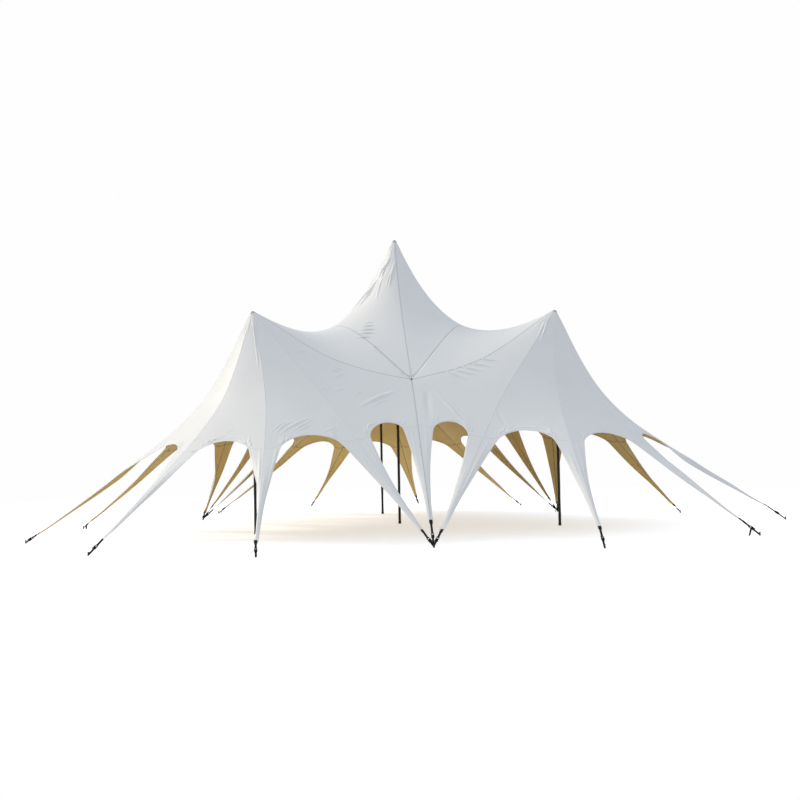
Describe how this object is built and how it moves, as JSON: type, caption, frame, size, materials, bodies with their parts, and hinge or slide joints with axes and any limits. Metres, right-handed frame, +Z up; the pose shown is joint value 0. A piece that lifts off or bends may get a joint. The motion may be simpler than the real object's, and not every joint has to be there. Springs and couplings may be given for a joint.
{
  "type": "star canopy tent",
  "caption": "Open-sided stretch canopy tent: a tall centre mast ringed by shorter masts, arched edges, and tapered legs pulled out by straps to ground stakes.",
  "frame": {"origin": "on the ground, at the centre of the flat foot of the centre mast", "axes": "+Z up; the front, where three legs share one stake, faces -Y; +X to the right seen from the front"},
  "size_m": [16.26, 15.5613, 6.624],
  "materials": {
    "canopy_cloth": "satin coated stretch cloth, white outside and tan inside",
    "mast_metal": "satin black coated tube",
    "anchor_webbing": "black woven webbing with dark ratchets and stakes"
  },
  "bodies": {
    "root": {"centre_cone_panel": "canopy_cloth", "centre_mast": "mast_metal", "left_anchor_2": "anchor_webbing", "left_anchor_3": "anchor_webbing", "left_anchor_4": "anchor_webbing", "left_anchor_5": "anchor_webbing", "left_back_panel": "canopy_cloth", "left_front_panel": "canopy_cloth", "left_inner_panel": "canopy_cloth", "left_leg_1": "canopy_cloth", "left_leg_2": "canopy_cloth", "left_leg_3": "canopy_cloth", "left_leg_4": "canopy_cloth", "left_leg_5": "canopy_cloth", "left_leg_6": "canopy_cloth", "left_mast": "mast_metal", "left_side_panel": "canopy_cloth", "middle_leg_front": "canopy_cloth", "middle_leg_left": "canopy_cloth", "middle_leg_right": "canopy_cloth", "rear_anchor_2": "anchor_webbing", "rear_anchor_3": "anchor_webbing", "rear_anchor_4": "anchor_webbing", "rear_anchor_5": "anchor_webbing", "rear_back_panel": "canopy_cloth", "rear_inner_panel": "canopy_cloth", "rear_left_panel": "canopy_cloth", "rear_leg_1": "canopy_cloth", "rear_leg_2": "canopy_cloth", "rear_leg_3": "canopy_cloth", "rear_leg_4": "canopy_cloth", "rear_leg_5": "canopy_cloth", "rear_leg_6": "canopy_cloth", "rear_mast": "mast_metal", "rear_right_panel": "canopy_cloth", "right_anchor_2": "anchor_webbing", "right_anchor_3": "anchor_webbing", "right_anchor_4": "anchor_webbing", "right_anchor_5": "anchor_webbing", "right_back_panel": "canopy_cloth", "right_front_panel": "canopy_cloth", "right_inner_panel": "canopy_cloth", "right_leg_1": "canopy_cloth", "right_leg_2": "canopy_cloth", "right_leg_3": "canopy_cloth", "right_leg_4": "canopy_cloth", "right_leg_5": "canopy_cloth", "right_leg_6": "canopy_cloth", "right_mast": "mast_metal", "right_side_panel": "canopy_cloth", "shared_anchor_front": "anchor_webbing", "shared_anchor_left": "anchor_webbing", "shared_anchor_right": "anchor_webbing"}
  },
  "joints": []
}
